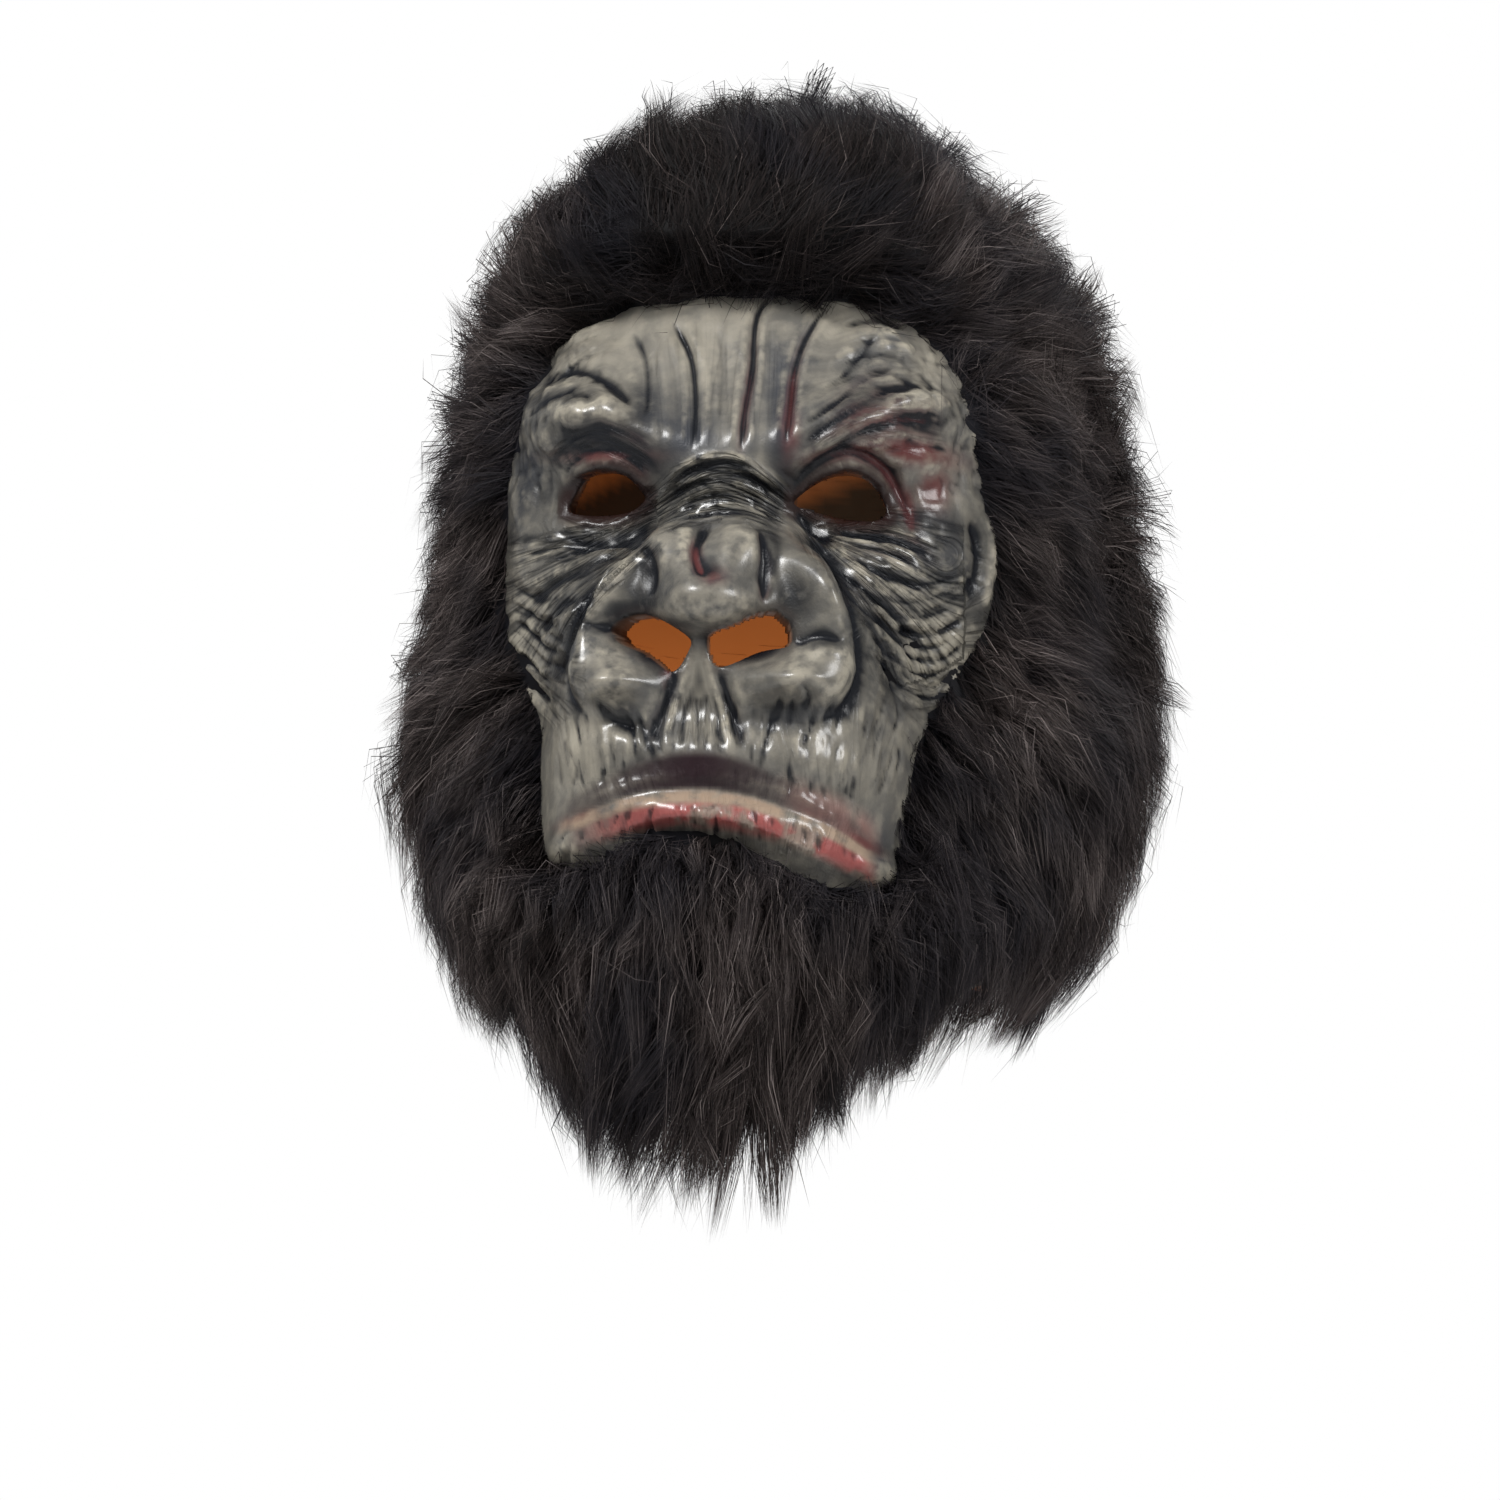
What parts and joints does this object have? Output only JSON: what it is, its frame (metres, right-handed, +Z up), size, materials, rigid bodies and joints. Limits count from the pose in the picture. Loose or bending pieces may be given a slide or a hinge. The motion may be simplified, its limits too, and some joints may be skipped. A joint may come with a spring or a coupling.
{
  "type": "gorilla mask",
  "caption": "Full-head pull-over gorilla mask: hollow moulded rubber head with open eyes and nostrils, long faux-fur hood and beard.",
  "frame": {"origin": "inside of the crown, where the wearer's head carries the mask", "axes": "+Z up, the face looks along -Y, +X is the wearer's left"},
  "size_m": [0.2668, 0.3028, 0.368],
  "materials": {
    "face_rubber": "moulded rubber, painted grey with dark washes, semi-gloss",
    "faux_fur": "long-pile faux fur, black-brown"
  },
  "bodies": {
    "root": {"rubber_head": "face_rubber", "crest_fur": "faux_fur", "left_side_fur": "faux_fur", "right_side_fur": "faux_fur", "beard_fur": "faux_fur"}
  },
  "joints": []
}
